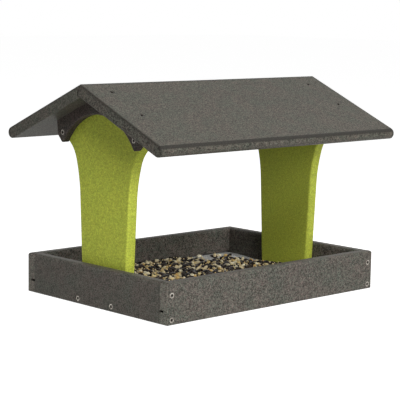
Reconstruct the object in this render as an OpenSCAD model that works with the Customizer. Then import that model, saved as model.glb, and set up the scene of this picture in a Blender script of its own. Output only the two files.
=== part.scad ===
// Fly-through bird feeder of recycled plastic boards.
// Origin: middle of the tray's underside. X runs along the ridge, Y towards the back, Z up. Millimetres.

/* [Tray] */
// Length of the tray over its end boards
tray_len = 404; // [320:1:520]
// Width of the tray over its long boards
tray_w = 298; // [250:1:360]
// Height of the tray boards
wall_h = 56; // [50:1:80]
// Thickness of the tray boards
board_t = 16; // [14:0.5:20]
// Rounding along the top edges of the tray boards
edge_r = 4; // [1.5:0.5:6]
// Easing of the bottom and upright edges of the tray boards
ease_r = 1; // [0.5:0.25:1.5]
// Height of the groove's floor above the tray's underside
groove_z = 16; // [14:0.5:20]
// Opening of the groove that holds the screen
groove_h = 3; // [2.5:0.5:4]
// Depth of the groove in each long board
groove_d = 8.5; // [6:0.5:10]

/* [Screen floor] */
// Thickness of the screen over its wires
screen_t = 1.2; // [0.8:0.1:2]
// How far the screen hangs down in the middle of the tray
screen_sag = 9; // [4:0.5:12]
// Room round the screen's free edges and at the bottom of its grooves
screen_gap = 0.8; // [0.4:0.1:1.5]

/* [Seed] */
// Height of the bed of seed above the rim of the screen
seed_rise = 4; // [2:0.5:20]
// Distance from the tray's back right corner to the edge of the seed
bare_reach = 95; // [60:5:120]
// Direction from the middle of the seed towards that corner, in degrees from the tray's length
bare_turn = 42; // [30:1:60]
// Slope at which the seed thins out before that corner, in degrees
seed_slope = 13; // [10:1:30]

/* [Posts] */
// Thickness of the two posts
post_t = 16; // [14:0.5:20]
// Half the width of a post at its foot
foot_half = 45; // [38:0.5:50]
// How much a post widens on each side from its foot to its neck
taper = 7.3; // [2:0.1:10]
// Distance from the peak of a post down to its neck, where the flare starts
flare_h = 139.5; // [132:0.5:150]
// Radius of the long curve of the flare
flare_r = 210; // [180:5:250]
// Lean of the edge at the end of the long curve, in degrees
flare_angle = 17; // [15:0.5:20]
// Radius of the short curve of the flare
lip_r = 45; // [36:1:48]
// Lean of the edge at the end of the short curve, in degrees
lip_angle = 60; // [54:1:64]
// Straight run from the short curve out to the shoulder
lip_run = 5; // [3:0.5:8]

/* [Gable blocks] */
// Thickness of the arched blocks that carry the roof
block_t = 12.5; // [11:0.5:16]
// How far a block stands out past the post's shoulder at the roof
block_lip = 1; // [0.5:0.25:2]
// Height of a block's side below the roof
block_side_h = 17.5; // [14:0.5:21]
// How far a block's side leans in
block_side_in = 1.5; // [1:0.5:5]
// Radius of the arch
arch_r = 86; // [80:0.5:88]
// Depth of a block between the peak and the crown of the arch
crown_depth = 24; // [22:0.5:28]
// Lean of the block's foot from the upright, in degrees
toe_angle = 38; // [34:1:44]
// Rounding at the tip of the foot
toe_r = 2; // [1:0.5:3]

/* [Roof] */
// Height of the ridge above the tray's underside
ridge_h = 304; // [284:1:340]
// Slope of both roof panels, in degrees
pitch = 23.5; // [20:0.25:27]
// Length of the front panel from ridge to eave, along the slope
front_run = 180; // [170:1:200]
// Length of the back panel from ridge to eave, along the slope
back_run = 178; // [170:1:200]
// Thickness of the roof panels
panel_t = 16; // [13:0.5:18]
// How far the roof reaches past each end of the tray
gable_overhang = 26.5; // [16:0.5:40]
// Rounding along the gable edges and the hidden corner at the ridge
panel_edge_r = 2.5; // [1.5:0.5:4]

/* [Screws] */
// Diameter of the countersunk heads
head_d = 7.2; // [6.5:0.1:8]
// Depth of the countersunk heads
head_h = 2.8; // [2.4:0.1:3.2]
// Diameter of the shanks
shank_d = 4; // [3.5:0.1:4.5]
// How far the heads sit below the surface
head_sink = 0.3; // [0.1:0.1:0.6]
// Radial room round every screw in its hole
hole_gap = 0.1; // [0.05:0.05:0.2]
// Length of the screws through the tray's corners
corner_screw_len = 38; // [32:1:45]
// Length of the screws through the end boards into the feet of the posts
foot_screw_len = 28; // [24:1:29]
// Length of the screws through the feet of the gable blocks into the posts
block_screw_len = 24; // [20:1:24.5]
// Length of the screws through the roof into the gable blocks
roof_screw_len = 28; // [24:1:30]
// Height of the lower corner screws
low_screw_z = 6.5; // [6:0.5:8]
// Height of the upper corner screws
high_screw_z = 39; // [30:0.5:42]
// Distance of the foot screws from the middle of the tray
foot_screw_y = 35.5; // [24:0.5:37]
// Height of the foot screws
foot_screw_z = 7; // [6:0.5:8]
// Distance of the block screws from the middle of the tray
block_screw_y = 75; // [73:0.5:77]
// Depth of the block screws below the peak of the block
block_screw_drop = 53; // [50:0.5:56]
// Distance of the upper roof screws from the ridge, along the slope
high_roof_screw = 25.5; // [20:0.5:32]
// Distance of the lower roof screws from the ridge, along the slope
low_roof_screw = 92; // [86:0.5:94]

/* [Hidden] */

$fn = 48;
left = -1;
right = 1;
front = -1;
back = 1;
charcoal = [0.40, 0.385, 0.365];
lime = [0.60, 0.66, 0.22];
pale_grey = [0.70, 0.70, 0.69];
straw = [0.62, 0.50, 0.30];
steel = [0.78, 0.77, 0.74];
cut = 0.5; // how far a cutting shape reaches past the face that it cuts

inner_half_w = tray_w / 2 - board_t;
inner_half_len = tray_len / 2 - board_t;
post_x = inner_half_len; // outboard face of a post, against the end board
block_x = post_x + block_t; // outboard face of a gable block
roof_len = tray_len + 2 * gable_overhang;
peak_z = ridge_h - panel_t / cos(pitch); // underside of the roof at the ridge

// Flare of a post's edge: two arcs that touch, measured from the post's middle line
neck_half = foot_half + taper;
neck_z = peak_z - flare_h;
neck_angle = atan(taper / neck_z);
flare_c = [neck_half + flare_r * cos(neck_angle), neck_z - flare_r * sin(neck_angle)];
lip_c = flare_c + (flare_r - lip_r) * [-cos(flare_angle), sin(flare_angle)];
lip_end = lip_c + lip_r * [-cos(lip_angle), sin(lip_angle)];
shoulder = lip_end + lip_run * [1, 1 / tan(lip_angle)];

// Gable block: the arch's centre, the side's lower end and the circle that rounds the foot's tip
arch_c = [0, peak_z - crown_depth - arch_r];
block_half = shoulder.x + block_lip;
side_low = [block_half - block_side_in, under_roof(block_half) - block_side_h];
toe_dir = [-sin(toe_angle), -cos(toe_angle)];
toe_in = [-cos(toe_angle), sin(toe_angle)];
toe_start = side_low + toe_r * toe_in - arch_c;
toe_reach = -toe_start * toe_dir
    - sqrt(pow(toe_start * toe_dir, 2) - toe_start * toe_start + pow(arch_r + toe_r, 2));
toe_tangent = side_low + toe_reach * toe_dir;
toe_c = toe_tangent + toe_r * toe_in;
toe_steps = 6;

// Screen: it lies flat for a little way in from each long board, then hangs in one wave
screen_rim = 4;
screen_span = inner_half_w - screen_rim;
screen_half_w = inner_half_w + groove_d - screen_gap;
screen_half_len = inner_half_len - screen_gap;
screen_steps = 20;
sag_line = [for (i = [-screen_steps : screen_steps])
    let (y = screen_span * i / screen_steps) [y, groove_z - sag(y)]];
seed_low_z = groove_z + screen_t - screen_sag / 2; // height of the seed's thin edge

tip_h = 3; // length of a screw's point
rim_h = 0.4; // upright rim of a screw's head

function under_roof(y) = peak_z - abs(y) * tan(pitch);
function arc(c, r, from, to, steps) =
    [for (i = [0 : steps]) let (a = from + (to - from) * i / steps) c + r * [cos(a), sin(a)]];
function heading(v) = atan2(v.y, v.x);
function mirrored(points) = [for (i = [len(points) - 1 : -1 : 0]) [-points[i].x, points[i].y]];
function sag(y) = abs(y) < screen_span ? screen_sag * (1 + cos(180 * y / screen_span)) / 2 : 0;

// Rectangle from the origin with its corners rounded: bottom left, bottom right, top right, top left
module eased_rect(w, h, radii) {
    corners = [[0, 0], [w, 0], [w, h], [0, h]];
    difference() {
        square([w, h]);
        for (i = [0 : 3]) {
            c = corners[i];
            r = radii[i];
            out = [c.x > 0 ? 1 : -1, c.y > 0 ? 1 : -1];
            translate(c - r * out)
                difference() {
                    translate([out.x > 0 ? 0 : -r - cut, out.y > 0 ? 0 : -r - cut]) square(r + cut);
                    circle(r);
                }
        }
    }
}

// Lays a flat outline drawn in X and Y upright in Y and Z, and gives it a thickness along X
module along_x(from, length) {
    translate([from, 0, 0])
        rotate([90, 0, 90])
            linear_extrude(length)
                children();
}

// Outline of a countersunk screw, head up, or of its hole where room is more than 0
module screw_outline(length, room, above) {
    head = head_d / 2 + room;
    shank = shank_d / 2 + room;
    rotate_extrude()
        polygon([[0, above], [head, above], [head, -head_sink - rim_h], [shank, -head_sink - head_h],
            [shank, -length + tip_h], [0, -length - room]]);
}

module screw(length) {
    color(steel)
        difference() {
            screw_outline(length, 0, -head_sink);
            // shallow dish in the top of the head
            translate([0, 0, -head_sink - 0.5])
                cylinder(h = 2, d = shank_d * 0.6);
        }
}

module screw_hole(length) {
    screw_outline(length, hole_gap, cut);
}

// Where the screws stand. Each turns a screw so that its head faces outwards
module at_corner(side_x, side_y) {
    for (z = [low_screw_z, high_screw_z])
        translate([side_x * (tray_len - board_t) / 2, side_y * tray_w / 2, z])
            rotate([-90 * side_y, 0, 0])
                children();
}

module at_foot(side_x) {
    for (y = [-foot_screw_y, foot_screw_y])
        translate([side_x * tray_len / 2, y, foot_screw_z])
            rotate([0, 90 * side_x, 0])
                children();
}

module at_block(side_x) {
    for (y = [-block_screw_y, block_screw_y])
        translate([side_x * block_x, y, peak_z - block_screw_drop])
            rotate([0, 90 * side_x, 0])
                children();
}

module at_roof(side_x, side_y) {
    for (d = [high_roof_screw, low_roof_screw])
        translate([side_x * (post_x + block_t / 2), side_y * d * cos(pitch), ridge_h - d * sin(pitch)])
            rotate([-pitch * side_y, 0, 0])
                children();
}

// Long board of the tray: rounded top, eased ends, and the through groove for the screen
module tray_board(side_y) {
    color(charcoal)
        difference() {
            translate([0, side_y < 0 ? -tray_w / 2 : tray_w / 2 - board_t, 0])
                intersection() {
                    along_x(-tray_len / 2, tray_len)
                        eased_rect(board_t, wall_h, [ease_r, ease_r, edge_r, edge_r]);
                    translate([-tray_len / 2, board_t, 0])
                        rotate([90, 0, 0])
                            linear_extrude(board_t)
                                eased_rect(tray_len, wall_h, [ease_r, ease_r, edge_r, edge_r]);
                    translate([-tray_len / 2, 0, 0])
                        linear_extrude(wall_h)
                            eased_rect(tray_len, board_t, [ease_r, ease_r, ease_r, ease_r]);
                }
            along_x(-tray_len / 2 - cut, tray_len + 2 * cut)
                translate([side_y < 0 ? -inner_half_w - groove_d : inner_half_w - cut, groove_z])
                    square([groove_d + cut, groove_h]);
            for (side_x = [left, right])
                at_corner(side_x, side_y) screw_hole(corner_screw_len);
        }
}

// End board: stands between the long boards, with the post against its inner face
module end_board(side_x) {
    color(charcoal)
        difference() {
            translate([side_x < 0 ? -tray_len / 2 : inner_half_len, inner_half_w, 0])
                rotate([90, 0, 0])
                    linear_extrude(2 * inner_half_w)
                        eased_rect(board_t, wall_h, [ease_r, ease_r, edge_r, edge_r]);
            for (side_y = [front, back])
                at_corner(side_x, side_y) screw_hole(corner_screw_len);
            at_foot(side_x) screw_hole(foot_screw_len);
        }
}

// Room for the feet of the posts in what lies between the tray boards
module foot_notches() {
    notch_half = foot_half + taper * groove_z / neck_z + screen_gap;
    notch_x = post_x - post_t - screen_gap;
    for (side_x = [left, right])
        translate([side_x < 0 ? -post_x : notch_x, -notch_half, 0])
            cube([post_t + screen_gap, 2 * notch_half, wall_h]);
}

// Flexible screen that lies in the two grooves and is notched round the feet of the posts
module seed_screen() {
    lower = concat([[-screen_half_w, groove_z]], sag_line, [[screen_half_w, groove_z]]);
    upper = [for (i = [len(lower) - 1 : -1 : 0]) lower[i] + [0, screen_t]];
    color(pale_grey)
        difference() {
            along_x(-screen_half_len, 2 * screen_half_len) polygon(concat(lower, upper));
            foot_notches();
        }
}

// Bed of seed on the screen, thinning out to nothing before the bare back right corner
module seed_mix() {
    rim = [inner_half_w, groove_z];
    lower = concat([[-rim.x, rim.y]], sag_line, [rim]);
    bed = [for (p = lower) p + [0, screen_t]];
    seed_top = groove_z + screen_t + seed_rise;
    color(straw)
        difference() {
            along_x(-screen_half_len, 2 * screen_half_len)
                polygon(concat(bed, [[rim.x, seed_top], [-rim.x, seed_top]]));
            foot_notches();
            translate([inner_half_len, inner_half_w, 0])
                rotate([0, 0, bare_turn])
                    translate([-bare_reach, 0, seed_low_z])
                        rotate([0, seed_slope, 0])
                            translate([-tray_w, -tray_w, 0])
                                cube([2 * tray_w, 2 * tray_w, tray_w]);
        }
}

// Round void of radius r between two angles, reaching past its chord
module hollow_arc(c, r, from, to, sides) {
    reach = 1.2 * r;
    intersection() {
        translate(c) circle(r, $fn = sides);
        polygon([c, c + reach * [cos(from), sin(from)], c + reach * [cos(to), sin(to)]]);
    }
}

// Post: a slightly tapered board that flares in two curves to carry the roof's slopes
module post(side_x) {
    edge = [[foot_half, 0], flare_c + flare_r * [-cos(neck_angle), sin(neck_angle)],
        flare_c + flare_r * [-cos(flare_angle), sin(flare_angle)], lip_end,
        shoulder, [shoulder.x, under_roof(shoulder.x)]];
    color(lime)
        difference() {
            along_x(side_x < 0 ? -post_x : post_x - post_t, post_t)
                difference() {
                    polygon(concat(edge, [[0, peak_z]], mirrored(edge)));
                    for (side_y = [0, 1])
                        mirror([side_y, 0]) {
                            hollow_arc(flare_c, flare_r, 180 - neck_angle, 180 - flare_angle, 360);
                            hollow_arc(lip_c, lip_r, 180 - flare_angle, 180 - lip_angle, 120);
                        }
                }
            at_foot(side_x) screw_hole(foot_screw_len);
            at_block(side_x) screw_hole(block_screw_len);
        }
}

// Gable block: an arched board on the outer face of a post, cut to both slopes of the roof
module gable_block(side_x) {
    toe = arc(toe_c, toe_r, heading(-toe_in), heading(arch_c - toe_c), toe_steps);
    half = concat([[block_half, under_roof(block_half)], side_low], toe);
    color(charcoal)
        difference() {
            along_x(side_x < 0 ? -block_x : post_x, block_t)
                difference() {
                    polygon(concat([[0, peak_z]], half, [arch_c], mirrored(half)));
                    translate(arch_c) circle(arch_r, $fn = 120);
                }
            at_block(side_x) screw_hole(block_screw_len);
            for (side_y = [front, back])
                at_roof(side_x, side_y) screw_hole(roof_screw_len);
        }
}

// Section of a roof panel, ridge at the origin and eave to the right, top face on the X axis.
// The front panel has a square upper edge. The back panel has a rabbet that this edge sits in.
module panel_section(side_y) {
    run = side_y < 0 ? front_run : back_run;
    nose = panel_t / 2;
    difference() {
        union() {
            translate([0, -panel_t]) square([run - nose, panel_t]);
            translate([run - nose, -nose]) circle(nose);
        }
        if (side_y < 0)
            translate([panel_edge_r, panel_edge_r - panel_t])
                difference() {
                    translate([-panel_edge_r - cut, -panel_edge_r - cut]) square(panel_edge_r + cut);
                    circle(panel_edge_r);
                }
        else
            polygon([[0, 0], panel_t * [sin(2 * pitch), -cos(2 * pitch)], panel_t * [tan(pitch), -1],
                [panel_t * tan(pitch), -panel_t - cut], [-cut, -panel_t - cut], [-cut, 0]]);
    }
}

module roof_panel(side_y) {
    run = side_y < 0 ? front_run : back_run;
    color(charcoal)
        difference() {
            translate([0, 0, ridge_h])
                mirror([0, side_y < 0 ? 1 : 0, 0])
                    rotate([-pitch, 0, 0])
                        intersection() {
                            along_x(-roof_len / 2, roof_len) panel_section(side_y);
                            translate([-roof_len / 2, run + cut, -panel_t])
                                rotate([90, 0, 0])
                                    linear_extrude(run + 2 * cut)
                                        eased_rect(roof_len, panel_t, panel_edge_r * [1, 1, 1, 1]);
                        }
            for (side_x = [left, right])
                at_roof(side_x, side_y) screw_hole(roof_screw_len);
        }
}

module front_tray_board() { tray_board(front); }
module back_tray_board() { tray_board(back); }
module left_end_board() { end_board(left); }
module right_end_board() { end_board(right); }
module left_post() { post(left); }
module right_post() { post(right); }
module left_gable_block() { gable_block(left); }
module right_gable_block() { gable_block(right); }
module front_roof_panel() { roof_panel(front); }
module back_roof_panel() { roof_panel(back); }
module front_left_corner_screws() { at_corner(left, front) screw(corner_screw_len); }
module front_right_corner_screws() { at_corner(right, front) screw(corner_screw_len); }
module back_left_corner_screws() { at_corner(left, back) screw(corner_screw_len); }
module back_right_corner_screws() { at_corner(right, back) screw(corner_screw_len); }
module left_post_foot_screws() { at_foot(left) screw(foot_screw_len); }
module right_post_foot_screws() { at_foot(right) screw(foot_screw_len); }
module left_gable_screws() { at_block(left) screw(block_screw_len); }
module right_gable_screws() { at_block(right) screw(block_screw_len); }
module front_left_roof_screws() { at_roof(left, front) screw(roof_screw_len); }
module front_right_roof_screws() { at_roof(right, front) screw(roof_screw_len); }
module back_left_roof_screws() { at_roof(left, back) screw(roof_screw_len); }
module back_right_roof_screws() { at_roof(right, back) screw(roof_screw_len); }

front_tray_board();
back_tray_board();
left_end_board();
right_end_board();
seed_screen();
seed_mix();
left_post();
right_post();
left_gable_block();
right_gable_block();
front_roof_panel();
back_roof_panel();
front_left_corner_screws();
front_right_corner_screws();
back_left_corner_screws();
back_right_corner_screws();
left_post_foot_screws();
right_post_foot_screws();
left_gable_screws();
right_gable_screws();
front_left_roof_screws();
front_right_roof_screws();
back_left_roof_screws();
back_right_roof_screws();
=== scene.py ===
import math
import bpy
import numpy as np
from mathutils import Matrix, Vector


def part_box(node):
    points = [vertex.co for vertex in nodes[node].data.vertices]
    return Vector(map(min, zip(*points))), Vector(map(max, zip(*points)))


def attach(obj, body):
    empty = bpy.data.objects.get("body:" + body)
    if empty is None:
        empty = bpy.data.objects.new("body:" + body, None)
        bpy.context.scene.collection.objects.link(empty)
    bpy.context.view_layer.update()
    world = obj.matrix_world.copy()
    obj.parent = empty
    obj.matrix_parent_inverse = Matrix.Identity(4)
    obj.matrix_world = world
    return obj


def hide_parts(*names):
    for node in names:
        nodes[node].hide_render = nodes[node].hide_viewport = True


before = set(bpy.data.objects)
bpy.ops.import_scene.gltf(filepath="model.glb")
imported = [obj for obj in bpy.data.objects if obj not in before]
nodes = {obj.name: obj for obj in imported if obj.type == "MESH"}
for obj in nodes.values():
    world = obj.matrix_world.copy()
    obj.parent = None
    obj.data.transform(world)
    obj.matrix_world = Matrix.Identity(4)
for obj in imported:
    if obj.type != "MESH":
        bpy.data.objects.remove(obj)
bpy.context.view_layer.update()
scene = bpy.context.scene
scene.view_settings.view_transform = "Standard"
mm = 0.001
print("frame loaded")

# The camera stands where the tray's corners and the roof's edges put it
camera = {
    "lens": 131.006, "sensor": 36.0, "distance": 2.09626, "nearest": 0.1, "farthest": 100.0,
    "azimuth": -43.399, "elevation": 7.758, "roll": 0.872,
    "target": (-0.00647, 0.0, 0.13156),
}


def placeCamera():
    # back points from the target to the eye: (sin a cos e, -cos a cos e, sin e) for azimuth a and
    # elevation e. The picture's right and up are square to it, and turned about it by the roll
    azimuth, elevation, roll = (math.radians(camera[k]) for k in ("azimuth", "elevation", "roll"))
    level = math.cos(elevation)
    back = Vector((math.sin(azimuth) * level, -math.cos(azimuth) * level, math.sin(elevation)))
    right = (-back).cross(Vector((0, 0, 1))).normalized()
    up = right.cross(-back)
    across = math.cos(roll) * right + math.sin(roll) * up
    upright = math.cos(roll) * up - math.sin(roll) * right
    place = Vector(camera["target"]) + back * camera["distance"]
    data = bpy.data.cameras.new("photoCamera")
    data.lens = camera["lens"]
    data.sensor_width = camera["sensor"]
    data.clip_start = camera["nearest"]
    data.clip_end = camera["farthest"]
    eye = bpy.data.objects.new("photoCamera", data)
    eye.matrix_world = Matrix((
        (across.x, upright.x, back.x, place.x),
        (across.y, upright.y, back.y, place.y),
        (across.z, upright.z, back.z, place.z),
        (0, 0, 0, 1)))
    scene.collection.objects.link(eye)
    scene.camera = eye


placeCamera()
print("camera placed")


# Small helpers for shader trees
def calc(tree, operation, a, b=None, c=None, clamp=False):
    node = tree.nodes.new("ShaderNodeMath")
    node.operation = operation
    node.use_clamp = clamp
    for socket, value in zip(node.inputs, (a, b, c)):
        if value is None:
            continue
        if isinstance(value, (int, float)):
            socket.default_value = value
        else:
            tree.links.new(value, socket)
    return node.outputs[0]


def addShare(tree, base, value, share):
    # base + share * value
    return calc(tree, "ADD", base, calc(tree, "MULTIPLY", value, share))


def vectorCalc(tree, operation, a, b=None):
    node = tree.nodes.new("ShaderNodeVectorMath")
    node.operation = operation
    for socket, value in zip(node.inputs, (a, b)):
        if value is None:
            continue
        if isinstance(value, (tuple, list)):
            socket.default_value = value
        else:
            tree.links.new(value, socket)
    return node.outputs[0]


def splitVector(tree, vector):
    node = tree.nodes.new("ShaderNodeSeparateXYZ")
    tree.links.new(vector, node.inputs[0])
    return node.outputs


def scaleColour(tree, colour, lightness):
    scaled = vectorCalc(tree, "SCALE", colour)
    tree.links.new(lightness, scaled.node.inputs["Scale"])
    return scaled


def blendColours(tree, share, first, second):
    node = tree.nodes.new("ShaderNodeMix")
    node.data_type = "RGBA"
    sockets = (node.inputs[0], node.inputs[6], node.inputs[7])  # the share and the two colours
    for socket, value in zip(sockets, (share, first, second)):
        if isinstance(value, (int, float)):
            socket.default_value = value
        elif isinstance(value, (tuple, list)):
            socket.default_value = (*value[:3], 1)
        else:
            tree.links.new(value, socket)
    return node.outputs[2]


def noise(tree, where, size, detail=2.0, roughness=0.5):
    # a cloud of lumps that are about size across, in metres
    node = tree.nodes.new("ShaderNodeTexNoise")
    node.inputs["Scale"].default_value = 1 / size
    node.inputs["Detail"].default_value = detail
    node.inputs["Roughness"].default_value = roughness
    tree.links.new(where, node.inputs["Vector"])
    return node.outputs[0]


def ramp(tree, value, low, high):
    # 0 below low, 1 above high, and straight between them
    node = tree.nodes.new("ShaderNodeMapRange")
    node.inputs["From Min"].default_value = low
    node.inputs["From Max"].default_value = high
    tree.links.new(value, node.inputs["Value"])
    return node.outputs[0]


def objectPlace(tree):
    return tree.nodes.new("ShaderNodeTexCoord").outputs["Object"]


def readAttribute(tree, label):
    node = tree.nodes.new("ShaderNodeAttribute")
    node.attribute_name = label
    return node.outputs["Fac"]


def startGroup(name, wanted, given):
    group = bpy.data.node_groups.new(name, "ShaderNodeTree")
    for label, kind, value in wanted:
        socket = group.interface.new_socket(label, in_out="INPUT", socket_type=kind)
        socket.default_value = value
    for label, kind in given:
        group.interface.new_socket(label, in_out="OUTPUT", socket_type=kind)
    taken = group.nodes.new("NodeGroupInput").outputs
    return group, taken, group.nodes.new("NodeGroupOutput").inputs


def useGroup(tree, group, **values):
    node = tree.nodes.new("ShaderNodeGroup")
    node.node_tree = group
    for label, value in values.items():
        socket = node.inputs[label]
        if isinstance(value, (int, float)):
            socket.default_value = value
        elif isinstance(value, (tuple, list)):
            socket.default_value = (*value, 1) if socket.type == "RGBA" else value
        else:
            tree.links.new(value, socket)
    return node.outputs


def newMaterial(name):
    material = bpy.data.materials.new(name)
    material.use_nodes = True
    tree = material.node_tree
    tree.nodes.clear()
    skin = tree.nodes.new("ShaderNodeBsdfPrincipled")
    out = tree.nodes.new("ShaderNodeOutputMaterial")
    tree.links.new(skin.outputs[0], out.inputs["Surface"])
    return material, tree, skin


def bump(tree, skin, height, distance):
    node = tree.nodes.new("ShaderNodeBump")
    node.inputs["Distance"].default_value = distance
    node.inputs["Strength"].default_value = 1.0
    tree.links.new(height, node.inputs["Height"])
    tree.links.new(node.outputs[0], skin.inputs["Normal"])


# Studio: a dim room that looks white, three broad lamps and a pale floor just under the tray
studio = {
    "room": 0.10, "floorColour": (0.70, 0.70, 0.70), "floorLift": 0.92, "floorReach": 12.0,
    "floorZ": -1 * mm, "lampDistance": 2.2, "lampSize": 1.0, "lampAim": (0, 0, 0.15),
}
lamps = [
    # name, where from, watts
    ("frontLamp", (-0.25, -0.92, 0.30), 27.0),
    ("highLeftLamp", (-0.50, -0.50, 0.70), 21.5),
    ("highRightLamp", (0.50, -0.50, 0.70), 13.5),
]


def seenDirectly(tree):
    # 1 for rays that show a thing as it is: from the camera, off a gloss or through glass
    paths = tree.nodes.new("ShaderNodeLightPath").outputs
    seen = calc(tree, "MAXIMUM", paths["Is Camera Ray"], paths["Is Glossy Ray"])
    return calc(tree, "MAXIMUM", seen, paths["Is Transmission Ray"])


def buildRoom():
    world = bpy.data.worlds.new("paleRoom")
    scene.world = world
    world.use_nodes = True
    tree = world.node_tree
    tree.nodes.clear()
    room = tree.nodes.new("ShaderNodeBackground")
    room.inputs["Color"].default_value = (1, 1, 1, 1)
    room.inputs["Strength"].default_value = studio["room"]
    white = tree.nodes.new("ShaderNodeBackground")
    white.inputs["Color"].default_value = (1, 1, 1, 1)
    mix = tree.nodes.new("ShaderNodeMixShader")
    out = tree.nodes.new("ShaderNodeOutputWorld")
    tree.links.new(seenDirectly(tree), mix.inputs[0])
    tree.links.new(room.outputs[0], mix.inputs[1])
    tree.links.new(white.outputs[0], mix.inputs[2])
    tree.links.new(mix.outputs[0], out.inputs["Surface"])


def buildFloor():
    # a square sheet of plain paint that also glows by floorLift where it is seen directly
    reach, low = studio["floorReach"], studio["floorZ"]
    corners = [(-reach, -reach, low), (reach, -reach, low), (reach, reach, low), (-reach, reach, low)]
    mesh = bpy.data.meshes.new("floor")
    mesh.from_pydata(corners, [], [(0, 1, 2, 3)])
    floor = bpy.data.objects.new("floor", mesh)
    scene.collection.objects.link(floor)
    material = bpy.data.materials.new("floorPaint")
    material.use_nodes = True
    tree = material.node_tree
    tree.nodes.clear()
    paint = tree.nodes.new("ShaderNodeBsdfDiffuse")
    paint.inputs["Color"].default_value = (*studio["floorColour"], 1)
    glow = tree.nodes.new("ShaderNodeEmission")
    both = tree.nodes.new("ShaderNodeAddShader")
    out = tree.nodes.new("ShaderNodeOutputMaterial")
    lift = calc(tree, "MULTIPLY", seenDirectly(tree), studio["floorLift"])
    tree.links.new(lift, glow.inputs["Strength"])
    tree.links.new(paint.outputs[0], both.inputs[0])
    tree.links.new(glow.outputs[0], both.inputs[1])
    tree.links.new(both.outputs[0], out.inputs["Surface"])
    mesh.materials.append(material)


def hangLamps():
    for name, whence, watts in lamps:
        data = bpy.data.lights.new(name, "AREA")
        data.shape = "DISK"
        data.size = studio["lampSize"]
        data.energy = watts
        lamp = bpy.data.objects.new(name, data)
        towards = Vector(whence).normalized()
        lamp.location = Vector(studio["lampAim"]) + towards * studio["lampDistance"]
        lamp.rotation_euler = towards.to_track_quat("Z", "Y").to_euler()
        scene.collection.objects.link(lamp)


buildRoom()
buildFloor()
hangLamps()
print("studio built")

# Moulded board: warm and cool clouds from the mixed scrap, a stippled face and stray flecks
boardGrain = {
    "cloudSize": 0.028, "cloudBand": (0.38, 0.62), "cloudShare": 0.35,
    "speckSize": 0.0024, "speckBand": (0.35, 0.65), "speckShare": 0.65, "speckShift": (0.37, 0.11, 0.23),
    "mottleSize": 0.0050, "mottleShare": 0.25, "mottleHeight": 0.5,
    "stippleSize": 0.0017, "stippleRough": 0.65, "darkest": 0.3,
    "fleckSize": 0.0034, "fleckBand": (0.10, 0.22), "paleOver": 0.86, "darkUnder": 0.16,
    "roughness": 0.46, "roughSpread": 0.14, "edgeEase": 0.3, "edgeSheen": 0.10, "edgeFlatness": 0.7,
}


def buildBoardGroup():
    # tone runs from Cool to Warm with clouds and specks. Lightness is 1 + Contrast (mottle and
    # stipple about their middle), never under darkest, and flecks are round spots in random cells
    group, given, made = startGroup(
        "mouldedBoard",
        [("Position", "NodeSocketVector", (0, 0, 0)),
         ("Warm", "NodeSocketColor", (0.1, 0.1, 0.1, 1)),
         ("Cool", "NodeSocketColor", (0.1, 0.1, 0.1, 1)),
         ("Contrast", "NodeSocketFloat", 0.3),
         ("Flecks", "NodeSocketFloat", 0.5)],
        [("Color", "NodeSocketColor"), ("Roughness", "NodeSocketFloat"), ("Height", "NodeSocketFloat")])
    place = given["Position"]
    scraps = vectorCalc(group, "ADD", place, boardGrain["speckShift"])
    specks = ramp(group, noise(group, scraps, boardGrain["speckSize"], 1.0), *boardGrain["speckBand"])
    clouds = ramp(group, noise(group, place, boardGrain["cloudSize"], 3.0), *boardGrain["cloudBand"])
    clouds = calc(group, "MULTIPLY", clouds, boardGrain["cloudShare"])
    tone = blendColours(group, addShare(group, clouds, specks, boardGrain["speckShare"]),
                        given["Cool"], given["Warm"])
    mottle = noise(group, place, boardGrain["mottleSize"], 2.0)
    stipple = noise(group, place, boardGrain["stippleSize"], 2.0, boardGrain["stippleRough"])
    wobble = calc(group, "MULTIPLY", calc(group, "SUBTRACT", mottle, 0.5), boardGrain["mottleShare"])
    wobble = calc(group, "ADD", wobble, calc(group, "SUBTRACT", stipple, 0.5))
    lightness = addShare(group, 1.0, wobble, given["Contrast"])
    lightness = calc(group, "MAXIMUM", boardGrain["darkest"], lightness)
    cells = group.nodes.new("ShaderNodeTexVoronoi")
    cells.inputs["Scale"].default_value = 1 / boardGrain["fleckSize"]
    group.links.new(place, cells.inputs["Vector"])
    away = ramp(group, cells.outputs["Distance"], *boardGrain["fleckBand"])
    spot = calc(group, "SUBTRACT", 1.0, away, clamp=True)
    parts = group.nodes.new("ShaderNodeSeparateColor")
    group.links.new(cells.outputs["Color"], parts.inputs[0])
    draw = parts.outputs[0]
    pale = calc(group, "MULTIPLY", spot, calc(group, "GREATER_THAN", draw, boardGrain["paleOver"]))
    dark = calc(group, "MULTIPLY", spot, calc(group, "LESS_THAN", draw, boardGrain["darkUnder"]))
    lightness = addShare(group, lightness, calc(group, "SUBTRACT", pale, dark), given["Flecks"])
    group.links.new(scaleColour(group, tone, lightness), made["Color"])
    group.links.new(addShare(group, boardGrain["roughness"], mottle, boardGrain["roughSpread"]),
                    made["Roughness"])
    group.links.new(addShare(group, stipple, mottle, boardGrain["mottleHeight"]), made["Height"])
    return group


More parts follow.
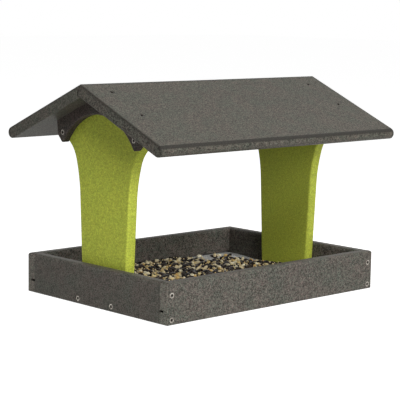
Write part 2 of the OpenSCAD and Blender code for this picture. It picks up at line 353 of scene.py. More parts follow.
# Routed edges: a point near two faces of its board at once lies on a rounded edge. The second
# smallest of its distances to the sides and the top tells how near it is
def buildEdgeGroup():
    group, given, made = startGroup(
        "routedEdges",
        [("Position", "NodeSocketVector", (0, 0, 0)),
         ("Centre", "NodeSocketVector", (0, 0, 0)),
         ("Half", "NodeSocketVector", (1, 1, 1)),
         ("Width", "NodeSocketFloat", 0.002)],
        [("Edge", "NodeSocketFloat")])
    offset = vectorCalc(group, "SUBTRACT", given["Position"], given["Centre"])
    away = vectorCalc(group, "ABSOLUTE", offset)
    sideGaps = splitVector(group, vectorCalc(group, "SUBTRACT", given["Half"], away))
    topGap = splitVector(group, vectorCalc(group, "SUBTRACT", given["Half"], offset))
    x, y, z = sideGaps[0], sideGaps[1], topGap[2]
    low, high = calc(group, "MINIMUM", x, y), calc(group, "MAXIMUM", x, y)
    second = calc(group, "MAXIMUM", low, calc(group, "MINIMUM", high, z))
    nearness = calc(group, "DIVIDE", second, given["Width"])
    eased = calc(group, "SMOOTH_MIN", nearness, 1.0, boardGrain["edgeEase"])
    group.links.new(calc(group, "SUBTRACT", 1.0, eased, clamp=True), made["Edge"])
    return group


boardGroup = buildBoardGroup()
edgeGroup = buildEdgeGroup()

# Finishes of the boards: colours from mixed scrap, how they mottle, shine and take a saw, and the
# colour of the painted shade at their edges
charcoal = {
    "warm": (0.109, 0.087, 0.076), "cool": (0.076, 0.084, 0.068), "edge": (0.030, 0.028, 0.022),
    "contrast": 4.6, "flecks": 0.40, "bump": 0.00026, "gloss": 0.12, "sawnLift": 0.65,
    "sawnBlend": 0.3 * mm,
}
lime = {
    "warm": (0.485, 0.522, 0.066), "cool": (0.440, 0.514, 0.066), "contrast": 1.7, "flecks": 0.10,
    "bump": 0.00016, "gloss": 0.15,
}


def eaveShadowLine(tree, place, box):
    # a painted shadow line along the top of the eave's round nose, in the edge colour
    # the line's share where the distance in from the eave is between near and far and the depth
    # below the top face is less than depth, else 0, with a change that is blend wide
    line = box["line"]
    offset = splitVector(tree, vectorCalc(tree, "SUBTRACT", place, box["centre"]))
    gap = calc(tree, "SUBTRACT", box["half"][1], calc(tree, "MULTIPLY", offset[1], box["side"]))
    rise = ramp(tree, gap, line["near"] - line["blend"], line["near"])
    fall = ramp(tree, gap, line["far"], line["far"] + line["blend"])
    strip = calc(tree, "SUBTRACT", rise, fall)
    lowest = box["half"][2] - line["depth"]
    nearTop = ramp(tree, offset[2], lowest, lowest + line["blend"])
    return calc(tree, "MULTIPLY", calc(tree, "MULTIPLY", strip, nearTop), line["share"])


def boardMaterial(name, finish, box=None, sawnFrom=None):
    # box describes a rectangular board: its centre and half size, read after a turn about X at the
    # pivot, how far the painted shade at its edges reaches and how dark it is, and the painted shadow line at
    # an eave.
    # Past sawnFrom, measured along X, the board shows its paler sawn end
    material, tree, skin = newMaterial(name)
    where = objectPlace(tree)
    grain = useGroup(tree, boardGroup, Position=where, Warm=finish["warm"], Cool=finish["cool"],
                     Contrast=finish["contrast"], Flecks=finish["flecks"])
    colour, rough, height = grain["Color"], grain["Roughness"], grain["Height"]
    if box:
        turned = Matrix.Rotation(box["turn"], 3, "X") @ Vector(box["pivot"])
        mapping = tree.nodes.new("ShaderNodeMapping")
        mapping.inputs["Rotation"].default_value = (box["turn"], 0, 0)
        mapping.inputs["Location"].default_value = -turned
        tree.links.new(where, mapping.inputs["Vector"])
        level = mapping.outputs[0]
        edge = useGroup(tree, edgeGroup, Position=level, Centre=box["centre"], Half=box["half"],
                        Width=box["edgeReach"])["Edge"]
        # painted shade: the colour darkens towards the rounded edges, where shade falls
        edgeShade = calc(tree, "MULTIPLY", edge, box["edgeShadeShare"])
        colour = blendColours(tree, edgeShade, colour, finish["edge"])
        # painted shadow line along the eave
        if "line" in box:
            colour = blendColours(tree, eaveShadowLine(tree, level, box), colour, finish["edge"])
        rough = calc(tree, "SUBTRACT", rough, calc(tree, "MULTIPLY", edge, boardGrain["edgeSheen"]))
        flatter = calc(tree, "MULTIPLY", edge, boardGrain["edgeFlatness"])
        height = calc(tree, "MULTIPLY", height, calc(tree, "SUBTRACT", 1.0, flatter))
    if sawnFrom:
        along = calc(tree, "ABSOLUTE", splitVector(tree, where)[0])
        sawn = ramp(tree, along, sawnFrom - finish["sawnBlend"], sawnFrom + finish["sawnBlend"])
        colour = scaleColour(tree, colour, addShare(tree, 1.0, sawn, finish["sawnLift"]))
    tree.links.new(colour, skin.inputs["Base Color"])
    tree.links.new(rough, skin.inputs["Roughness"])
    skin.inputs["Specular IOR Level"].default_value = finish["gloss"]
    bump(tree, skin, height, finish["bump"])
    return material


# Boards of the tray keep their solids. The long ones show their sawn ends, sawnDepth deep
trayBoards = {
    "long": ("front_tray_board", "back_tray_board"), "ends": ("left_end_board", "right_end_board"),
    # edgeShadeShare is how dark the painted shade at the boards' edges is
    "edgeReach": 2.5 * mm, "edgeShadeShare": 0.3, "sawnDepth": 0.8 * mm,
}


def dressBoards():
    for name in trayBoards["long"] + trayBoards["ends"]:
        low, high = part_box(name)
        box = {"centre": tuple((low + high) / 2), "half": tuple((high - low) / 2), "turn": 0.0,
               "pivot": (0, 0, 0), "edgeReach": trayBoards["edgeReach"], "edgeShadeShare": trayBoards["edgeShadeShare"]}
        sawnFrom = box["half"][0] - trayBoards["sawnDepth"] if name in trayBoards["long"] else None
        materials = nodes[name].data.materials
        materials.clear()
        materials.append(boardMaterial(name + "_plastic", charcoal, box, sawnFrom))


dressBoards()
print("boards dressed")


def meshPiece(name, points, faceLists, material, smooth=False):
    # points (n, 3) in metres; faceLists are integer arrays, each of faces with as many corners as
    # it has columns. Points that no face uses are dropped, and the numbers of the others returned
    used, renumbered = np.unique(np.concatenate([f.ravel() for f in faceLists]), return_inverse=True)
    sizes = np.concatenate([np.full(len(f), f.shape[1]) for f in faceLists])
    starts = np.concatenate([[0], np.cumsum(sizes)[:-1]])
    mesh = bpy.data.meshes.new(name)
    mesh.vertices.add(len(used))
    mesh.vertices.foreach_set("co", points[used].astype(np.float32).ravel())
    mesh.loops.add(len(renumbered))
    mesh.loops.foreach_set("vertex_index", renumbered.astype(np.int32).ravel())
    mesh.polygons.add(len(sizes))
    mesh.polygons.foreach_set("loop_start", starts.astype(np.int32))
    mesh.polygons.foreach_set("use_smooth", np.full(len(sizes), smooth))
    mesh.update(calc_edges=True)
    mesh.materials.append(material)
    piece = bpy.data.objects.new(name, mesh)
    scene.collection.objects.link(piece)
    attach(piece, "root")
    return piece, used


def setAttribute(piece, label, values):
    layer = piece.data.attributes.new(label, "FLOAT", "POINT")
    layer.data.foreach_set("value", values.astype(np.float32))


# The roof's sizes stand first, because posts and blocks are cut to its slopes
roof = {
    "ridge": 304 * mm, "pitch": math.radians(23.5), "frontRun": 179.98 * mm, "backRun": 177.98 * mm,
    "thick": 16 * mm, "halfLength": 228.5 * mm, "underEdge": 2.5 * mm, "edge": 2.2 * mm,
    "noseSteps": 17, "underSteps": 6, "edgeReach": 4.2 * mm, "edgeShadeShare": 0.9,
    # shadedTones: a darker copy of the charcoal and of its edge colour, painted shade on the roof; line
    # places the painted shadow line along the eave's nose
    "shadedTones": {"warm": (0.090, 0.074, 0.062), "cool": (0.064, 0.070, 0.055),
              "edge": (0.018, 0.016, 0.013)},
    "line": {"near": 3.0 * mm, "far": 7.5 * mm, "depth": 5 * mm, "blend": 1 * mm, "share": 0.88},
    "screwX": 192.25 * mm, "screwRuns": (25.5 * mm, 92 * mm),
}
peak = roof["ridge"] - roof["thick"] / math.cos(roof["pitch"])

# Posts with routed edges. The outline is two circular arcs on each side: the long one leaves the
# tapered foot, the short one runs on from it to the shoulder under the roof
post = {
    "foot": 45 * mm, "taper": 7.3 * mm, "flareDrop": 139.5 * mm, "flareRadius": 210 * mm,
    "flareEnd": math.radians(17), "flareSteps": 15, "lipRadius": 45 * mm, "lipEnd": math.radians(60),
    "lipSteps": 19, "lipRun": 5 * mm, "outer": 186 * mm, "thick": 16 * mm, "edge": 2.6 * mm,
}
routSteps = 6  # rings of points round each routed edge


def arcPoints(centre, radius, first, last, count):
    # count points on a circle, from angle first to angle last
    turn = np.linspace(first, last, count)
    return centre + radius * np.stack([np.cos(turn), np.sin(turn)], -1)


def postOutline():
    # anticlockwise in Y and Z from the foot, and each edge's share of the rounding. The flare's
    # centre is its radius away from the neck, square to the taper, and the lip's centre is on the
    # line from there to the flare's end, so both arcs leave with the slope they arrive at
    neckZ = peak - post["flareDrop"]
    lean = math.atan(post["taper"] / neckZ)
    neck = np.array([post["foot"] + post["taper"], neckZ])
    flareCentre = neck + post["flareRadius"] * np.array([math.cos(lean), -math.sin(lean)])
    ended = np.array([-math.cos(post["flareEnd"]), math.sin(post["flareEnd"])])
    lipCentre = flareCentre + (post["flareRadius"] - post["lipRadius"]) * ended
    flareStop, lipStop = math.pi - post["flareEnd"], math.pi - post["lipEnd"]
    flare = arcPoints(flareCentre, post["flareRadius"], math.pi - lean, flareStop, post["flareSteps"])
    lip = arcPoints(lipCentre, post["lipRadius"], flareStop, lipStop, post["lipSteps"])[1:]
    shoulder = lip[-1] + post["lipRun"] * np.array([1, 1 / math.tan(post["lipEnd"])])
    top = np.array([shoulder[0], peak - shoulder[0] * math.tan(roof["pitch"])])
    right = np.concatenate([[[post["foot"], 0]], flare, lip, [shoulder, top]])
    outline = np.concatenate([right, [[0, peak]], right[::-1] * (-1, 1)])
    shares = np.ones(len(outline))
    shares[[len(right) - 1, len(right), -1]] = 0  # the roof's two slopes and the sole stay square
    return outline, shares


def routedBoard(name, node, outline, shares, low, high, radius, material):
    # rings of the outline along X. In a ring each edge moves in by radius (1 - sin t) and the ring
    # stands radius (1 - cos t) in from its face, for t over a quarter turn
    along = np.roll(outline, -1, axis=0) - outline
    along /= np.linalg.norm(along, axis=1)[:, None]
    inward = np.stack([-along[:, 1], along[:, 0]], -1)
    before, shareBefore = np.roll(inward, 1, axis=0), np.roll(shares, 1)
    cross = before[:, 0] * inward[:, 1] - before[:, 1] * inward[:, 0]
    step = np.stack([shareBefore * inward[:, 1] - shares * before[:, 1],
                     shares * before[:, 0] - shareBefore * inward[:, 0]], -1) / cross[:, None]
    turn = np.linspace(0, math.pi / 2, routSteps)
    inset = radius * (1 - np.sin(turn))
    depth = radius * (1 - np.cos(turn))
    inset = np.concatenate([inset, inset[::-1]])
    across = np.concatenate([low + depth, (high - depth)[::-1]])
    rings, corners = len(across), len(outline)
    flat = outline[None] + inset[:, None, None] * step[None]
    points = np.concatenate([np.repeat(across, corners)[:, None], flat.reshape(-1, 2)], axis=1)
    number = np.arange(rings * corners).reshape(rings, corners)
    beside = np.roll(number, -1, axis=1)
    sides = np.stack([number[:-1], beside[:-1], beside[1:], number[1:]], -1).reshape(-1, 4)
    caps = np.stack([number[0][::-1], number[-1]])
    piece, _ = meshPiece(name, points, [sides, caps], material)
    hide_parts(node)
    return piece


def buildPosts():
    green = boardMaterial("post_plastic", lime)
    outline, shares = postOutline()
    inner, outer = post["outer"] - post["thick"], post["outer"]
    for name, node, low, high in (("routed_post_left", "left_post", -outer, -inner),
                                  ("routed_post_right", "right_post", inner, outer)):
        routedBoard(name, node, outline, shares, low, high, post["edge"], green)


buildPosts()
print("posts routed")

# Countersunk screws, and the holes that they sit in
screws = {
    "head": 3.6 * mm, "sink": 0.3 * mm, "rim": 0.4 * mm, "headDepth": 2.8 * mm, "shank": 1.95 * mm,
    "root": 1.4 * mm, "threadPitch": 1.7 * mm, "threadSteps": 7, "threadStart": 0.6 * mm,
    "threadEnd": 0.2 * mm, "crestSlope": 4.5, "threadLitShare": 0.6, "tip": 3.0 * mm, "tipShare": 0.06,
    "pole": 0.02 * mm, "poleGap": 0.05 * mm, "recess": 1.55 * mm, "recessDepth": 2.2 * mm, "sides": 32,
    "room": 0.15 * mm, "drillAbove": 1 * mm, "firstTurn": 0.7, "nextTurn": 1.9, "turnByName": 0.31,
    "cornerLength": 38 * mm, "footLength": 28 * mm, "gableLength": 24 * mm, "roofLength": 28 * mm,
    # roofLitShare and gableLitShare dim whole heads towards recessShade, painted shade on heads sunk in the
    # roof and blocks; recessShade is the painted shade colour
    "roofLitShare": 0.10, "gableLitShare": 0.7, "stainSize": 0.0022, "stainBand": (0.40, 0.65),
    "steel": (0.72, 0.68, 0.60), "stained": (0.34, 0.30, 0.26), "recessShade": (0.035, 0.030, 0.025),
    "roughness": 0.22, "roughSpread": 0.25,
}


def turnedAbout(out, angle):
    # three directions at right angles, the last one outwards. The fixed one is along no screw
    out = np.array(out, float)
    side = np.cross(out, (0.3, 0.5, 0.8))
    side /= np.linalg.norm(side)
    first = math.cos(angle) * side + math.sin(angle) * np.cross(out, side)
    return np.array([first, np.cross(out, first), out])


def drill(piece, places, length):
    # a lathe of (radius, height) rows, the screw's own outline with a little room, cut from the board
    wide, narrow = screws["head"] + screws["room"], screws["shank"] + screws["room"]
    rows = np.array([(wide, screws["drillAbove"]), (wide, -screws["sink"] - screws["rim"]),
                     (narrow, -screws["sink"] - screws["headDepth"]), (narrow, -length)])
    turn = np.linspace(0, 2 * np.pi, screws["sides"], endpoint=False)
    radius, height = rows[:, :1], rows[:, 1:]
    grid = np.stack([radius * np.cos(turn), radius * np.sin(turn), height + 0 * turn], -1)
    number = np.arange(grid.shape[0] * grid.shape[1]).reshape(grid.shape[:2])
    beside = np.roll(number, -1, axis=1)
    sides = np.stack([number[:-1], number[1:], beside[1:], beside[:-1]], -1).reshape(-1, 4)
    faces = sides.tolist() + [number[0].tolist(), number[-1][::-1].tolist()]
    for place, out in places:
        points = grid.reshape(-1, 3) @ turnedAbout(out, 0) + np.array(place)
        mesh = bpy.data.meshes.new("hole")
        mesh.from_pydata(points.tolist(), [], faces)
        hole = bpy.data.objects.new("hole", mesh)
        scene.collection.objects.link(hole)
        cutting = piece.modifiers.new("hole", "BOOLEAN")
        cutting.object = hole
        cutting.solver = "EXACT"
        shown = piece.evaluated_get(bpy.context.evaluated_depsgraph_get())
        cut = bpy.data.meshes.new_from_object(shown)
        piece.modifiers.clear()
        piece.data = cut
        bpy.data.objects.remove(hole)


# Roof panels: a full round nose at the eave, the front one square at the ridge and the back one
# rabbeted to take it, with routed gable ends
def roofOutline(side, run):
    # rows of (along the slope from the ridge, out from the top face), turned to the pitch: across is
    # side (along cos p + out sin p) and height is ridge - along sin p + out cos p
    thick, pitch = roof["thick"], roof["pitch"]
    middle = np.array([run - thick / 2, -thick / 2])
    nose = arcPoints(middle, thick / 2, -math.pi / 2, math.pi / 2, roof["noseSteps"])
    if side < 0:
        centre = np.array([1, -1]) * roof["underEdge"] + (0, 2 * roof["underEdge"] - thick)
        under = arcPoints(centre, roof["underEdge"], math.pi, 1.5 * math.pi, roof["underSteps"])
        section = np.concatenate([nose, [[0, 0]], under])
    else:
        rabbet = thick * np.array([[0, 0], [math.sin(2 * pitch), -math.cos(2 * pitch)],
                                   [math.tan(pitch), -1]])
        section = np.concatenate([nose, rabbet])
    shares = np.ones(len(section))
    if side > 0:
        shares[-3:-1] = 0  # the rabbet's two faces stay square
    along, out = section[:, 0], section[:, 1]
    flat = np.stack([side * (along * math.cos(pitch) + out * math.sin(pitch)),
                     roof["ridge"] - along * math.sin(pitch) + out * math.cos(pitch)], -1)
    if side < 0:
        flat, shares = flat[::-1], np.roll(shares[::-1], -1)
    return flat, shares


def roofScrewPlaces(sideY, sideX):
    # d down the slope from the ridge: across d cos p, and d sin p lower
    x, slope = sideX * roof["screwX"], roof["pitch"]
    out = (0, sideY * math.sin(slope), math.cos(slope))
    return [((x, sideY * d * math.cos(slope), roof["ridge"] - d * math.sin(slope)), out)
            for d in roof["screwRuns"]]


def buildRoof():
    for name, node, side, run in (("routed_roof_front", "front_roof_panel", -1, roof["frontRun"]),
                                  ("routed_roof_back", "back_roof_panel", 1, roof["backRun"])):
        # turned level about the ridge, the panel is a plain box
        box = {"centre": (0, side * run / 2, -roof["thick"] / 2),
               "half": (roof["halfLength"], run / 2, roof["thick"] / 2),
               "turn": side * roof["pitch"], "pivot": (0, 0, roof["ridge"]), "side": side,
               "edgeReach": roof["edgeReach"], "edgeShadeShare": roof["edgeShadeShare"], "line": roof["line"]}
        dark = boardMaterial(node + "_plastic", {**charcoal, **roof["shadedTones"]}, box)
        outline, shares = roofOutline(side, run)
        panel = routedBoard(name, node, outline, shares, -roof["halfLength"],
                            roof["halfLength"], roof["edge"], dark)
        drill(panel, roofScrewPlaces(side, -1) + roofScrewPlaces(side, 1), screws["roofLength"])


buildRoof()
print("roof routed")

# Gable blocks: the arch below, a rounded toe at each end of it, and the roof's two slopes above
block = {
    "outer": 198.5 * mm, "thick": 12.5 * mm, "lip": 1 * mm, "sideDrop": 19 * mm, "sideIn": 1.5 * mm,
    "archRadius": 86 * mm, "archSteps": 61, "crownDepth": 24 * mm, "toeAngle": math.radians(43),
    "toeRadius": 2.8 * mm, "toeSteps": 9, "edge": 2.2 * mm, "screwY": 75 * mm, "screwZ": 233.553 * mm,
    # shadedTones: a darker copy of the charcoal, painted shade for the block in the roof's shadow
    "shadedTones": {"warm": (0.066, 0.047, 0.042), "cool": (0.048, 0.045, 0.036)},
}


def blockOutline():
    # the toe is a small circle that touches the slanted side and the arch from outside: its centre is
    # toeRadius in from that side and archRadius + toeRadius away from the arch's centre
    shoulderY = postOutline()[0][:, 0].max()
    halfWidth = shoulderY + block["lip"]
    arch = np.array([0, peak - block["crownDepth"] - block["archRadius"]])
    corner = np.array([halfWidth, peak - halfWidth * math.tan(roof["pitch"])])
    sideLow = corner - (block["sideIn"], block["sideDrop"])
    down = np.array([-math.sin(block["toeAngle"]), -math.cos(block["toeAngle"])])
    inwards = np.array([-math.cos(block["toeAngle"]), math.sin(block["toeAngle"])])
    start = sideLow + block["toeRadius"] * inwards - arch
    along = start @ down
    apart = block["archRadius"] + block["toeRadius"]
    reach = -along - math.sqrt(along ** 2 - start @ start + apart ** 2)
    toe = sideLow + reach * down + block["toeRadius"] * inwards
    towards = math.atan2(*(toe - arch)[::-1])
    curve = arcPoints(arch, block["archRadius"], math.pi - towards, towards, block["archSteps"])
    rounded = arcPoints(toe, block["toeRadius"], towards + math.pi,
                        2 * math.pi - block["toeAngle"], block["toeSteps"])[1:]
    right = np.concatenate([rounded, [sideLow, corner]])
    outline = np.concatenate([curve, right, [[0, peak]], (right * (-1, 1))[::-1]])
    shares = np.ones(len(outline))
    top = len(curve) + len(right) - 1
    shares[[top, top + 1]] = 0  # the roof's two slopes stay square
    return outline, shares


def gableScrewPlaces(sideX):
    return [((sideX * block["outer"], y, block["screwZ"]), (sideX, 0, 0))
            for y in (-block["screwY"], block["screwY"])]


def buildBlocks():
    dark = boardMaterial("gable_plastic", {**charcoal, **block["shadedTones"]})
    outline, shares = blockOutline()
    inner, outer = block["outer"] - block["thick"], block["outer"]
    for name, node, sideX, low, high in (
            ("arched_block_left", "left_gable_block", -1, -outer, -inner),
            ("arched_block_right", "right_gable_block", 1, inner, outer)):
        made = routedBoard(name, node, outline, shares, low, high, block["edge"], dark)
        drill(made, gableScrewPlaces(sideX), screws["gableLength"])


buildBlocks()
print("gable blocks routed")

# Woven screen: each wire passes over and under the ones that it crosses and follows the sag.
# Wires stop at the notches round the posts
screen = {
    "pitch": 2.2 * mm, "wire": 0.5 * mm, "halfLength": 185.0 * mm, "halfWidth": 140.5 * mm,
    "middle": 16.6 * mm, "sag": 9 * mm, "span": 129 * mm, "notchX": 169.2 * mm, "notchY": 46.6 * mm,
    "colour": (0.66, 0.66, 0.64), "dulled": 0.72, "dullSize": 0.012, "dullBand": (0.35, 0.70),
    "roughness": 0.38, "roughSpread": 0.2, "metal": 0.55,
}


def screenHeight(y):
    # one cosine wave across the tray: sag (1 + cos(pi y / span)) / 2 below the height of its rim
    hang = screen["sag"] * (1 + np.cos(np.pi * y / screen["span"])) / 2
    return screen["middle"] - np.where(np.abs(y) < screen["span"], hang, 0)


def wireSet(name, alongX, material):
    # centre line of wire i at crossing j, half a wire above or below the screen by turns, then four
    # corners round it: a grid (wire, crossing, corner)
    xs = np.arange(-screen["halfLength"], screen["halfLength"], screen["pitch"])
    ys = np.arange(-screen["halfWidth"], screen["halfWidth"], screen["pitch"])
    xs += (screen["halfLength"] - xs[-1]) / 2
    ys += (screen["halfWidth"] - ys[-1]) / 2
    x, y = np.meshgrid(xs, ys, indexing="ij")
    i, j = np.indices(x.shape)
    over = np.where((i + j) % 2 == 0, 1.0, -1.0) * (1 if alongX else -1)
    z = screenHeight(y) + over * screen["wire"] / 2
    free = ~((np.abs(x) > screen["notchX"]) & (np.abs(y) < screen["notchY"]))
    if alongX:
        x, y, z, free = x.T, y.T, z.T, free.T
    half = screen["wire"] / 2
    sideways = np.array([half, 0, -half, 0])
    upwards = np.array([0, half, 0, -half])
    centre = np.stack([x, y, z], axis=-1)[:, :, None, :]
    spread = np.zeros((1, 1, 4, 3))
    spread[..., 1 if alongX else 0] = sideways * (1 if alongX else -1)
    spread[..., 2] = upwards
    points = (centre + spread).reshape(-1, 3)
    number = np.arange(points.shape[0]).reshape(x.shape[0], x.shape[1], 4)
    joined = free[:, :-1] & free[:, 1:]
    a, b = number[:, :-1][joined], number[:, 1:][joined]
    sides = np.stack([a, np.roll(a, -1, 1), np.roll(b, -1, 1), b], axis=-1).reshape(-1, 4)
    before = np.concatenate([np.zeros((len(free), 1), bool), joined], axis=1)
    after = np.concatenate([joined, np.zeros((len(free), 1), bool)], axis=1)
    caps = np.concatenate([number[after & ~before][:, ::-1], number[before & ~after]])
    piece, _ = meshPiece(name, points, [sides, caps], material)
    return piece


def buildScreen():
    material, tree, skin = newMaterial("screen_wire")
    dull = ramp(tree, noise(tree, objectPlace(tree), screen["dullSize"], 3.0), *screen["dullBand"])
    dulled = tuple(screen["dulled"] * c for c in screen["colour"])
    tree.links.new(blendColours(tree, dull, screen["colour"], dulled), skin.inputs["Base Color"])
    rough = addShare(tree, screen["roughness"], dull, screen["roughSpread"])
    tree.links.new(rough, skin.inputs["Roughness"])
    skin.inputs["Metallic"].default_value = screen["metal"]
    cross = wireSet("screen_cross_wires", False, material)
    wireSet("screen_long_wires", True, material)
    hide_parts("seed_screen")


buildScreen()
print("screen woven")

# Where the screws of the tray stand
trayScrews = {
    "endScrewX": 194 * mm, "faceY": 149 * mm, "endX": 202 * mm, "cornerZ": (6.5 * mm, 39 * mm),
    "footY": 35.5 * mm, "footZ": 7 * mm,
}


def screwPoints(length):
    # a lathe grid of (height, turn). In the drive recess the radius is 1 / max(|cos|, |sin|), a
    # square, and along the shank it rises from root to crest once in each pitch of one helix. The
    # second result is each ring's share of lit steel: the rest is painted shade in the recess and
    # under the head, and the bright ring near the rim is a painted highlight
    turn = np.linspace(0, 2 * np.pi, screws["sides"], endpoint=False)
    squareness = 1 / np.maximum(np.abs(np.cos(turn)), np.abs(np.sin(turn)))
    head, recess, top = screws["head"], screws["recess"], -screws["sink"]
    neck = top - screws["headDepth"]
    # the last column is the share of lit steel: 0 is painted shade in the recess, 1 near the rim a painted
    # highlight
    rings = np.array([  # radius, height, share of square, share of bright steel
        (screws["pole"], top - screws["recessDepth"] - 0.35 * mm, 1.0, 0.0),
        (recess * 0.86, top - screws["recessDepth"], 1.0, 0.0),
        (recess, top - 0.15 * mm, 1.0, 0.0),
        (recess * 1.08, top - 0.05 * mm, 1.0, 0.25),
        (recess * 1.70, top - 0.12 * mm, 0.0, 0.35),
        (head - 0.55 * mm, top, 0.0, 0.8),
        (head - 0.20 * mm, top - 0.02 * mm, 0.0, 1.0),
        (head, top - 0.15 * mm, 0.0, 0.5),
        (head, top - screws["rim"], 0.0, 0.0),
        (screws["shank"], neck, 0.0, 0.3)])
    radius = rings[:, :1] * (1 + rings[:, 2:3] * (squareness - 1))
    height = rings[:, 1:2] + 0 * turn
    # the thread fades in below the head and out at the tip
    down = np.arange(screws["threadStart"], length - screws["threadEnd"] + top - screws["headDepth"],
                     screws["threadPitch"] / screws["threadSteps"])
    z = (neck - down)[:, None] + 0 * turn
    phase = (z / screws["threadPitch"] + turn / (2 * np.pi)) % 1
    crest = np.clip(1 - np.abs(phase - 0.5) * screws["crestSlope"], 0, 1)
    taper = np.clip((length + z) / screws["tip"], screws["tipShare"], 1)
    fade = np.clip(down / (2 * screws["threadPitch"]), 0, 1)[:, None]
    body = (screws["root"] + (screws["shank"] - screws["root"]) * (crest * fade)) * taper
    end = np.full((1, len(turn)), screws["pole"])
    endHeight = np.full((1, len(turn)), -length + screws["poleGap"])
    radius = np.concatenate([radius, body, end])
    height = np.concatenate([height, z, endHeight])
    litShare = np.concatenate([rings[:, 3], np.full(len(body) + 1, screws["threadLitShare"])])
    return np.stack([radius * np.cos(turn), radius * np.sin(turn), height], axis=-1), litShare


def screwPiece(name, node, places, length, material, brightness=1.0):
    # places are (point on the surface, outward direction); each screw is turned by its own angle
    grid, litShare = screwPoints(length)
    rows, columns = grid.shape[:2]
    number = np.arange(rows * columns).reshape(rows, columns)
    beside = np.roll(number, -1, axis=1)
    skin = np.stack([number[:-1], number[1:], beside[1:], beside[:-1]], axis=-1).reshape(-1, 4)
    ends = [number[0], number[-1][::-1]]
    points, quads, caps = [], [], []
    for k, (place, out) in enumerate(places):
        angle = screws["firstTurn"] + screws["nextTurn"] * k + screws["turnByName"] * len(name)
        points.append(grid.reshape(-1, 3) @ turnedAbout(out, angle) + np.array(place))
        quads.append(skin + k * rows * columns)
        caps += [e[None, :] + k * rows * columns for e in ends]
    piece, used = meshPiece(name, np.concatenate(points), [np.concatenate(quads), *caps], material)
    setAttribute(piece, "litShare", brightness * np.tile(np.repeat(litShare, columns), len(places))[used])
    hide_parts(node)


def buildScrews():
    steel, tree, skin = newMaterial("screw_steel")
    stain = noise(tree, objectPlace(tree), screws["stainSize"], 3.0)
    bare = blendColours(tree, ramp(tree, stain, *screws["stainBand"]), screws["steel"], screws["stained"])
    # painted shade and highlight: litShare blends from recessShade to the stained steel
    colour = blendColours(tree, readAttribute(tree, "litShare"), screws["recessShade"], bare)
    tree.links.new(colour, skin.inputs["Base Color"])
    rough = addShare(tree, screws["roughness"], stain, screws["roughSpread"])
    tree.links.new(rough, skin.inputs["Roughness"])
    skin.inputs["Metallic"].default_value = 1.0
    for sideX, end in ((-1, "left"), (1, "right")):
        for sideY, face in ((-1, "front"), (1, "back")):
            corners = [((sideX * trayScrews["endScrewX"], sideY * trayScrews["faceY"], z), (0, sideY, 0))
                       for z in trayScrews["cornerZ"]]
            screwPiece(f"corner_screws_{face}_{end}", f"{face}_{end}_corner_screws", corners,
                       screws["cornerLength"], steel)
            screwPiece(f"roof_screws_{face}_{end}", f"{face}_{end}_roof_screws",
                       roofScrewPlaces(sideY, sideX), screws["roofLength"], steel, screws["roofLitShare"])
        feet = [((sideX * trayScrews["endX"], y, trayScrews["footZ"]), (sideX, 0, 0))
                for y in (-trayScrews["footY"], trayScrews["footY"])]
        screwPiece(f"foot_screws_{end}", f"{end}_post_foot_screws", feet, screws["footLength"], steel)
        screwPiece(f"gable_screws_{end}", f"{end}_gable_screws", gableScrewPlaces(sideX),
                   screws["gableLength"], steel, screws["gableLitShare"])


buildScrews()
print("screws driven")

# Bed of mixed seed: grains drop one after another on a map of heights and lie on what is below.
# The bed thins out towards the back right corner, where the screen is bare
bed = {
    "seed": 11, "halfX": 168.5 * mm, "halfY": 131.5 * mm, "margin": 6 * mm, "cell": 1 * mm,
    "top": 25.2 * mm, "bareX": 112 * mm, "bareY": 124 * mm, "waveX": (0.10, 90), "waveY": (0.06, 170),
    "sizes": (0.82, 1.12), "restShare": 0.6, "nestle": 0.92, "cover": 0.95, "steepest": 0.5,
    "tipSpread": 0.08, "roll": 0.5, "chips": (0.86, 1.14), "drop": 0.32,
    "gloss": 0.18, "stainSize": 0.002, "roughDrop": 0.1, "roughSpread": 0.2,
}
grains = [
    # half is half the size in mm, stray the share that still falls where the screen is bare, dark
    # and light the ends of the colour
    {"name": "black_sunflower_seeds", "count": 4000, "half": (6.8, 3.6, 2.4), "stray": 0.03,
     "dark": (0.007, 0.005, 0.004), "light": (0.040, 0.026, 0.018), "rough": 0.36, "pointed": True},
    {"name": "cracked_corn", "count": 1250, "half": (3.8, 3.0, 2.3), "stray": 0.05,
     "dark": (0.70, 0.42, 0.12), "light": (0.95, 0.80, 0.42), "rough": 0.55, "pointed": False},
    {"name": "safflower_seeds", "count": 1350, "half": (4.4, 2.7, 2.2), "stray": 0.10,
     "dark": (0.82, 0.66, 0.38), "light": (0.98, 0.90, 0.66), "rough": 0.45, "pointed": True},
    {"name": "white_millet", "count": 3600, "half": (1.3, 1.2, 1.05), "stray": 0.10,
     "dark": (0.70, 0.50, 0.22), "light": (0.96, 0.84, 0.54), "rough": 0.5, "pointed": False},
]


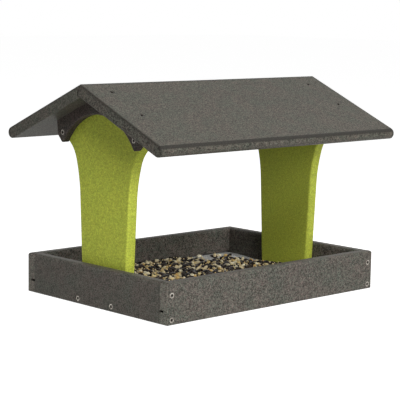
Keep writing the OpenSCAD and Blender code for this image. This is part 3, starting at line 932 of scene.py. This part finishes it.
def grainShape(pointed):
    # rings of six corners between two poles: for t from 0 to 1 a ring stands at x = -cos(pi t) with
    # radius sin(pi t), and that of a pointed grain narrows to one end by 1 - drop x
    rings = 4 if pointed else 2
    t = (np.arange(rings) + 1) / (rings + 1)
    turn = np.arange(6) * np.pi / 3
    x = -np.cos(np.pi * t)
    r = np.sin(np.pi * t) * (1 - bed["drop"] * x if pointed else 1)
    body = np.stack([np.repeat(x, 6), np.outer(r, np.cos(turn)).ravel(),
                     np.outer(r, np.sin(turn)).ravel()], -1)
    points = np.concatenate([[[-1, 0, 0]], body, [[1, 0, 0]]])
    number = 1 + np.arange(rings * 6).reshape(rings, 6)
    beside = np.roll(number, -1, axis=1)
    a, b, c, d = number[:-1], beside[:-1], beside[1:], number[1:]
    faces = [np.stack([a, b, c], -1).reshape(-1, 3), np.stack([a, c, d], -1).reshape(-1, 3)]
    faces.append(np.stack([np.zeros(6, int), beside[0], number[0]], -1))
    faces.append(np.stack([np.full(6, len(points) - 1), number[-1], beside[-1]], -1))
    return points, np.concatenate(faces)


def edgeOfSeed(x, y):
    # a slanting line across the corner that wanders with two sine waves
    sizeX, turnX = bed["waveX"]
    sizeY, turnY = bed["waveY"]
    return 1 + sizeX * math.sin(x * turnX) + sizeY * math.sin(y * turnY)


def strewSeeds():
    # a grain covers an ellipse with half sizes a and b: where 1 - (along / a)^2 - (beside / b)^2 is
    # over 0 it rests on the map, and raises it to its centre's height plus cover c times that
    # value's square root
    random = np.random.default_rng(bed["seed"])
    cell = bed["cell"]
    gridX = np.arange(-bed["halfX"] - bed["margin"], bed["halfX"] + bed["margin"], cell)
    gridY = np.arange(-bed["halfY"] - bed["margin"], bed["halfY"] + bed["margin"], cell)
    level = np.repeat((screenHeight(gridY) + screen["wire"])[None, :], len(gridX), axis=0)
    order = np.concatenate([np.full(g["count"], k) for k, g in enumerate(grains)])
    random.shuffle(order)
    placed = [[] for _ in grains]
    for kind in order:
        grain = grains[kind]
        half = np.array(grain["half"]) * mm * random.uniform(*bed["sizes"], 3)
        while True:
            x = random.uniform(-1, 1) * (bed["halfX"] - half[0])
            y = random.uniform(-1, 1) * (bed["halfY"] - half[0])
            fromCorner = (bed["halfX"] - x) / bed["bareX"] + (bed["halfY"] - y) / bed["bareY"]
            if fromCorner > edgeOfSeed(x, y) or random.random() < grain["stray"]:
                break
        heading = random.uniform(0, 2 * np.pi)
        forward = np.array([math.cos(heading), math.sin(heading)])
        i, j = int((x - gridX[0]) / cell), int((y - gridY[0]) / cell)
        reach = int(half[0] / cell) + 1
        window = (slice(max(i - reach, 0), i + reach + 1), slice(max(j - reach, 0), j + reach + 1))
        dx = gridX[window[0]][:, None] - x
        dy = gridY[window[1]][None, :] - y
        along = (dx * forward[0] + dy * forward[1]) / half[0]
        beside = (dx * forward[1] - dy * forward[0]) / half[1]
        inside = 1 - along ** 2 - beside ** 2
        under = inside > 0
        if not under.any():
            under = inside == inside.max()
        rest = np.quantile(level[window][under], bed["restShare"])
        # the grain tips with the slope under it
        slope = 0.0
        if under.sum() > 4:
            slope = np.polyfit(along[under] * half[0], level[window][under], 1)[0]
        tip = float(np.clip(math.atan(slope), -bed["steepest"], bed["steepest"]))
        tip += random.normal(0, bed["tipSpread"])
        centre = rest + half[2] * bed["nestle"]
        if centre + half[2] > bed["top"]:
            continue
        top = centre + half[2] * np.sqrt(np.clip(inside, 0, 1)) * bed["cover"]
        level[window] = np.where(under, np.maximum(level[window], top), level[window])
        roll = random.uniform(-bed["roll"], bed["roll"])
        placed[kind].append((x, y, centre, heading, tip, roll, *half, random.random()))
    for grain, rows in zip(grains, placed):
        makeGrains(grain, np.array(rows), random)


def makeGrains(grain, rows, random):
    # every grain's points at once: the shape times its half sizes, rolled about its long axis,
    # tipped up along it, turned to its heading and set down at its centre
    shape, faces = grainShape(grain["pointed"])
    x, y, z, heading, tip, roll, a, b, c, tint = rows.T
    count, corners = len(rows), len(shape)
    jitter = 1.0 if grain["pointed"] else random.uniform(*bed["chips"], (count, corners, 1))
    local = shape[None] * np.stack([a, b, c], -1)[:, None] * jitter
    ly = local[..., 1] * np.cos(roll)[:, None] - local[..., 2] * np.sin(roll)[:, None]
    lz = local[..., 1] * np.sin(roll)[:, None] + local[..., 2] * np.cos(roll)[:, None]
    lx = local[..., 0] * np.cos(tip)[:, None] - lz * np.sin(tip)[:, None]
    lz = local[..., 0] * np.sin(tip)[:, None] + lz * np.cos(tip)[:, None]
    px = x[:, None] + lx * np.cos(heading)[:, None] - ly * np.sin(heading)[:, None]
    py = y[:, None] + lx * np.sin(heading)[:, None] + ly * np.cos(heading)[:, None]
    points = np.stack([px, py, z[:, None] + lz], -1).reshape(-1, 3)
    numbers = (faces[None] + (np.arange(count) * corners)[:, None, None]).reshape(-1, 3)
    husk, tree, skin = newMaterial(grain["name"] + "_husk")
    colour = blendColours(tree, readAttribute(tree, "seedTint"), grain["dark"], grain["light"])
    tree.links.new(colour, skin.inputs["Base Color"])
    stain = noise(tree, objectPlace(tree), bed["stainSize"])
    rough = addShare(tree, grain["rough"] - bed["roughDrop"], stain, bed["roughSpread"])
    tree.links.new(rough, skin.inputs["Roughness"])
    skin.inputs["Specular IOR Level"].default_value = bed["gloss"]
    piece, used = meshPiece(grain["name"], points, [numbers], husk, smooth=grain["pointed"])
    if grain is grains[0]:
        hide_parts("seed_mix")
    setAttribute(piece, "seedTint", np.repeat(tint, corners)[used])
    print(grain["name"], count, "grains")


strewSeeds()
print("seed strewn")
